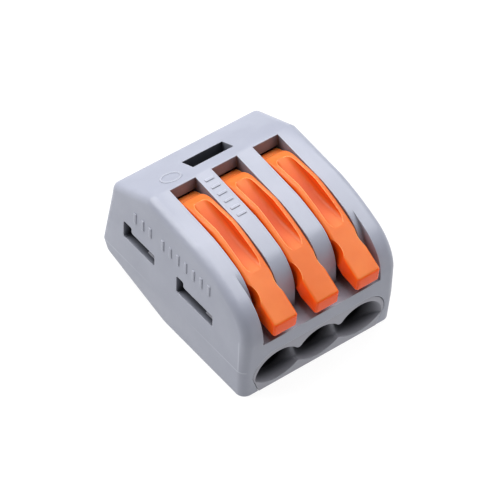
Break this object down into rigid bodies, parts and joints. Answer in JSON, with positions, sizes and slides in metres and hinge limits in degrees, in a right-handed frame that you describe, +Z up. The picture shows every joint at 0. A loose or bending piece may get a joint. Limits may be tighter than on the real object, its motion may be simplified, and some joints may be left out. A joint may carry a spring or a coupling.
{
  "type": "lever wire connector",
  "caption": "Small grey splicing connector with a row of orange clamp levers on top and round funnel-shaped wire entries in front.",
  "frame": {"origin": "bottom centre of the closed connector's bounding box", "axes": "+X across the poles, -Y the front with the wire entries, +Z up; levers modelled closed"},
  "size_m": [0.018, 0.0236, 0.0142],
  "materials": {
    "housing_grey": "fine matte",
    "insert_grey": "fine matte",
    "lever_orange": "satin gloss",
    "spring_steel": "bright",
    "bar_tin": "tin plated"
  },
  "bodies": {
    "housing": {"housing_shell": "housing_grey", "base_insert": "insert_grey", "current_bar": "bar_tin", "clamp_spring_left": "spring_steel", "clamp_spring_middle": "spring_steel", "clamp_spring_right": "spring_steel"},
    "lever_left": {"lever_left": "lever_orange"},
    "lever_middle": {"lever_middle": "lever_orange"},
    "lever_right": {"lever_right": "lever_orange"}
  },
  "joints": [
    {"name": "lever_left_hinge", "type": "hinge", "parent": "housing", "child": "lever_left", "pos_m": [-0.0048, 0.00108, 0.011], "axis": [-1, 0, 0], "range_deg": [0, 90], "deforming": ["clamp_spring_left"]},
    {"name": "lever_middle_hinge", "type": "hinge", "parent": "housing", "child": "lever_middle", "pos_m": [0, 0.00108, 0.011], "axis": [-1, 0, 0], "range_deg": [0, 90], "deforming": ["clamp_spring_middle"]},
    {"name": "lever_right_hinge", "type": "hinge", "parent": "housing", "child": "lever_right", "pos_m": [0.0048, 0.00108, 0.011], "axis": [-1, 0, 0], "range_deg": [0, 90], "deforming": ["clamp_spring_right"]}
  ]
}
